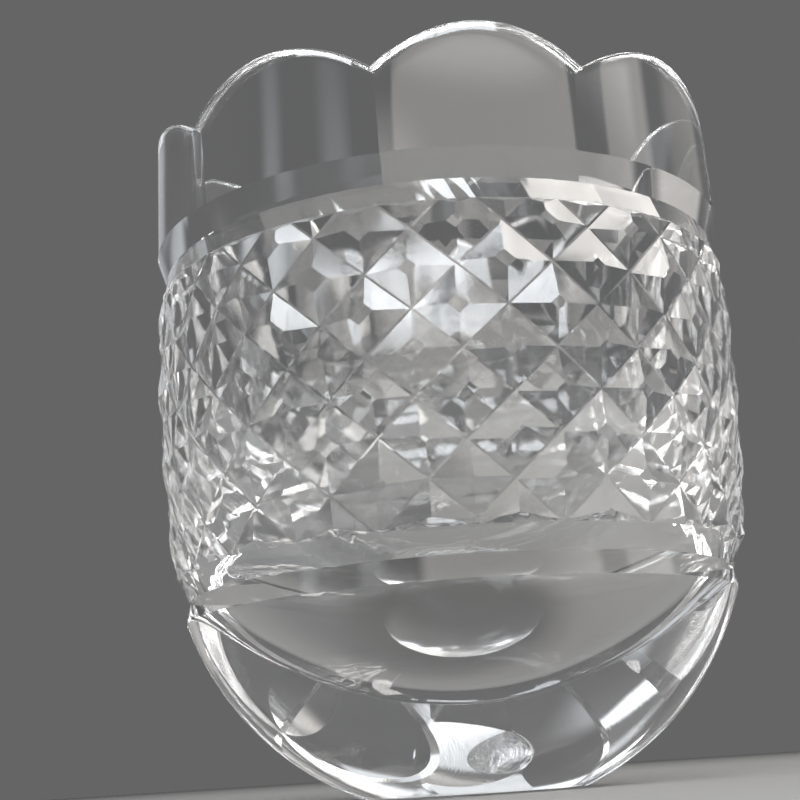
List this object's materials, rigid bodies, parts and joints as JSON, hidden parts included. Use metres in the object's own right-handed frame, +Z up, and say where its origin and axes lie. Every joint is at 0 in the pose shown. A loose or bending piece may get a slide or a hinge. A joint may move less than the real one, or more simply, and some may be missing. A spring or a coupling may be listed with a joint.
{
  "type": "cut crystal mixing glass",
  "caption": "Heavy clear cut-crystal glass with a round bowl, diamond-cut band between ring grooves and a scalloped rim, for stirring or serving drinks.",
  "frame": {"origin": "centre of the flat foot, on the surface that the glass stands on", "axes": "+Z up along the axis of the glass; -Y is the front, the side that the picture shows"},
  "size_m": [0.0882, 0.0882, 0.1007],
  "materials": {
    "clear_crystal": "polished, colourless, with bright cut facets"
  },
  "bodies": {
    "root": {"glass_body": "clear_crystal"}
  },
  "joints": []
}
